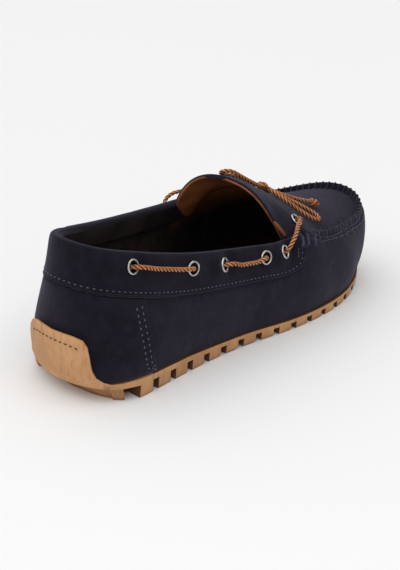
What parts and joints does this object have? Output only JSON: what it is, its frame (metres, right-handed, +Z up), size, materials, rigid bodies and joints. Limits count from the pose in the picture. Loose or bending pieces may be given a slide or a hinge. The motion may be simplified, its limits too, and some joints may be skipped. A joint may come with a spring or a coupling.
{
  "type": "loafer shoe",
  "caption": "Laced driving loafer for the right foot: hollow suede upper with apron, collar band and corded bow on a lugged rubber sole turned up at the heel.",
  "frame": {"origin": "bottom centre of the shoe's bounding box, on the floor it stands on", "axes": "+X towards the toe, +Y towards the medial side of the foot, +Z up"},
  "size_m": [0.2774, 0.0994, 0.0869],
  "materials": {
    "suede": "matt napped suede",
    "insole_leather": "smooth lining leather",
    "sole_rubber": "matt gum rubber",
    "eyelet_nickel": "polished nickel",
    "lace_leather": "waxed twisted cord"
  },
  "bodies": {
    "root": {"upper": "suede", "tongue": "suede", "collar_band": "suede", "heel_counter": "suede", "insole": "insole_leather", "outsole": "sole_rubber", "eyelet_lateral_1": "eyelet_nickel", "eyelet_lateral_2": "eyelet_nickel", "eyelet_lateral_3": "eyelet_nickel", "eyelet_lateral_4": "eyelet_nickel", "eyelet_lateral_5": "eyelet_nickel", "eyelet_lateral_6": "eyelet_nickel", "eyelet_medial_1": "eyelet_nickel", "eyelet_medial_2": "eyelet_nickel", "eyelet_medial_3": "eyelet_nickel", "eyelet_medial_4": "eyelet_nickel", "eyelet_medial_5": "eyelet_nickel", "eyelet_medial_6": "eyelet_nickel", "lace_lateral_1": "lace_leather", "lace_lateral_2": "lace_leather", "lace_lateral_3": "lace_leather", "lace_medial_1": "lace_leather", "lace_medial_2": "lace_leather", "lace_medial_3": "lace_leather", "lace_knot": "lace_leather", "lace_loop_back": "lace_leather", "lace_loop_front": "lace_leather", "lace_end_lateral": "lace_leather", "lace_end_medial": "lace_leather"}
  },
  "joints": []
}
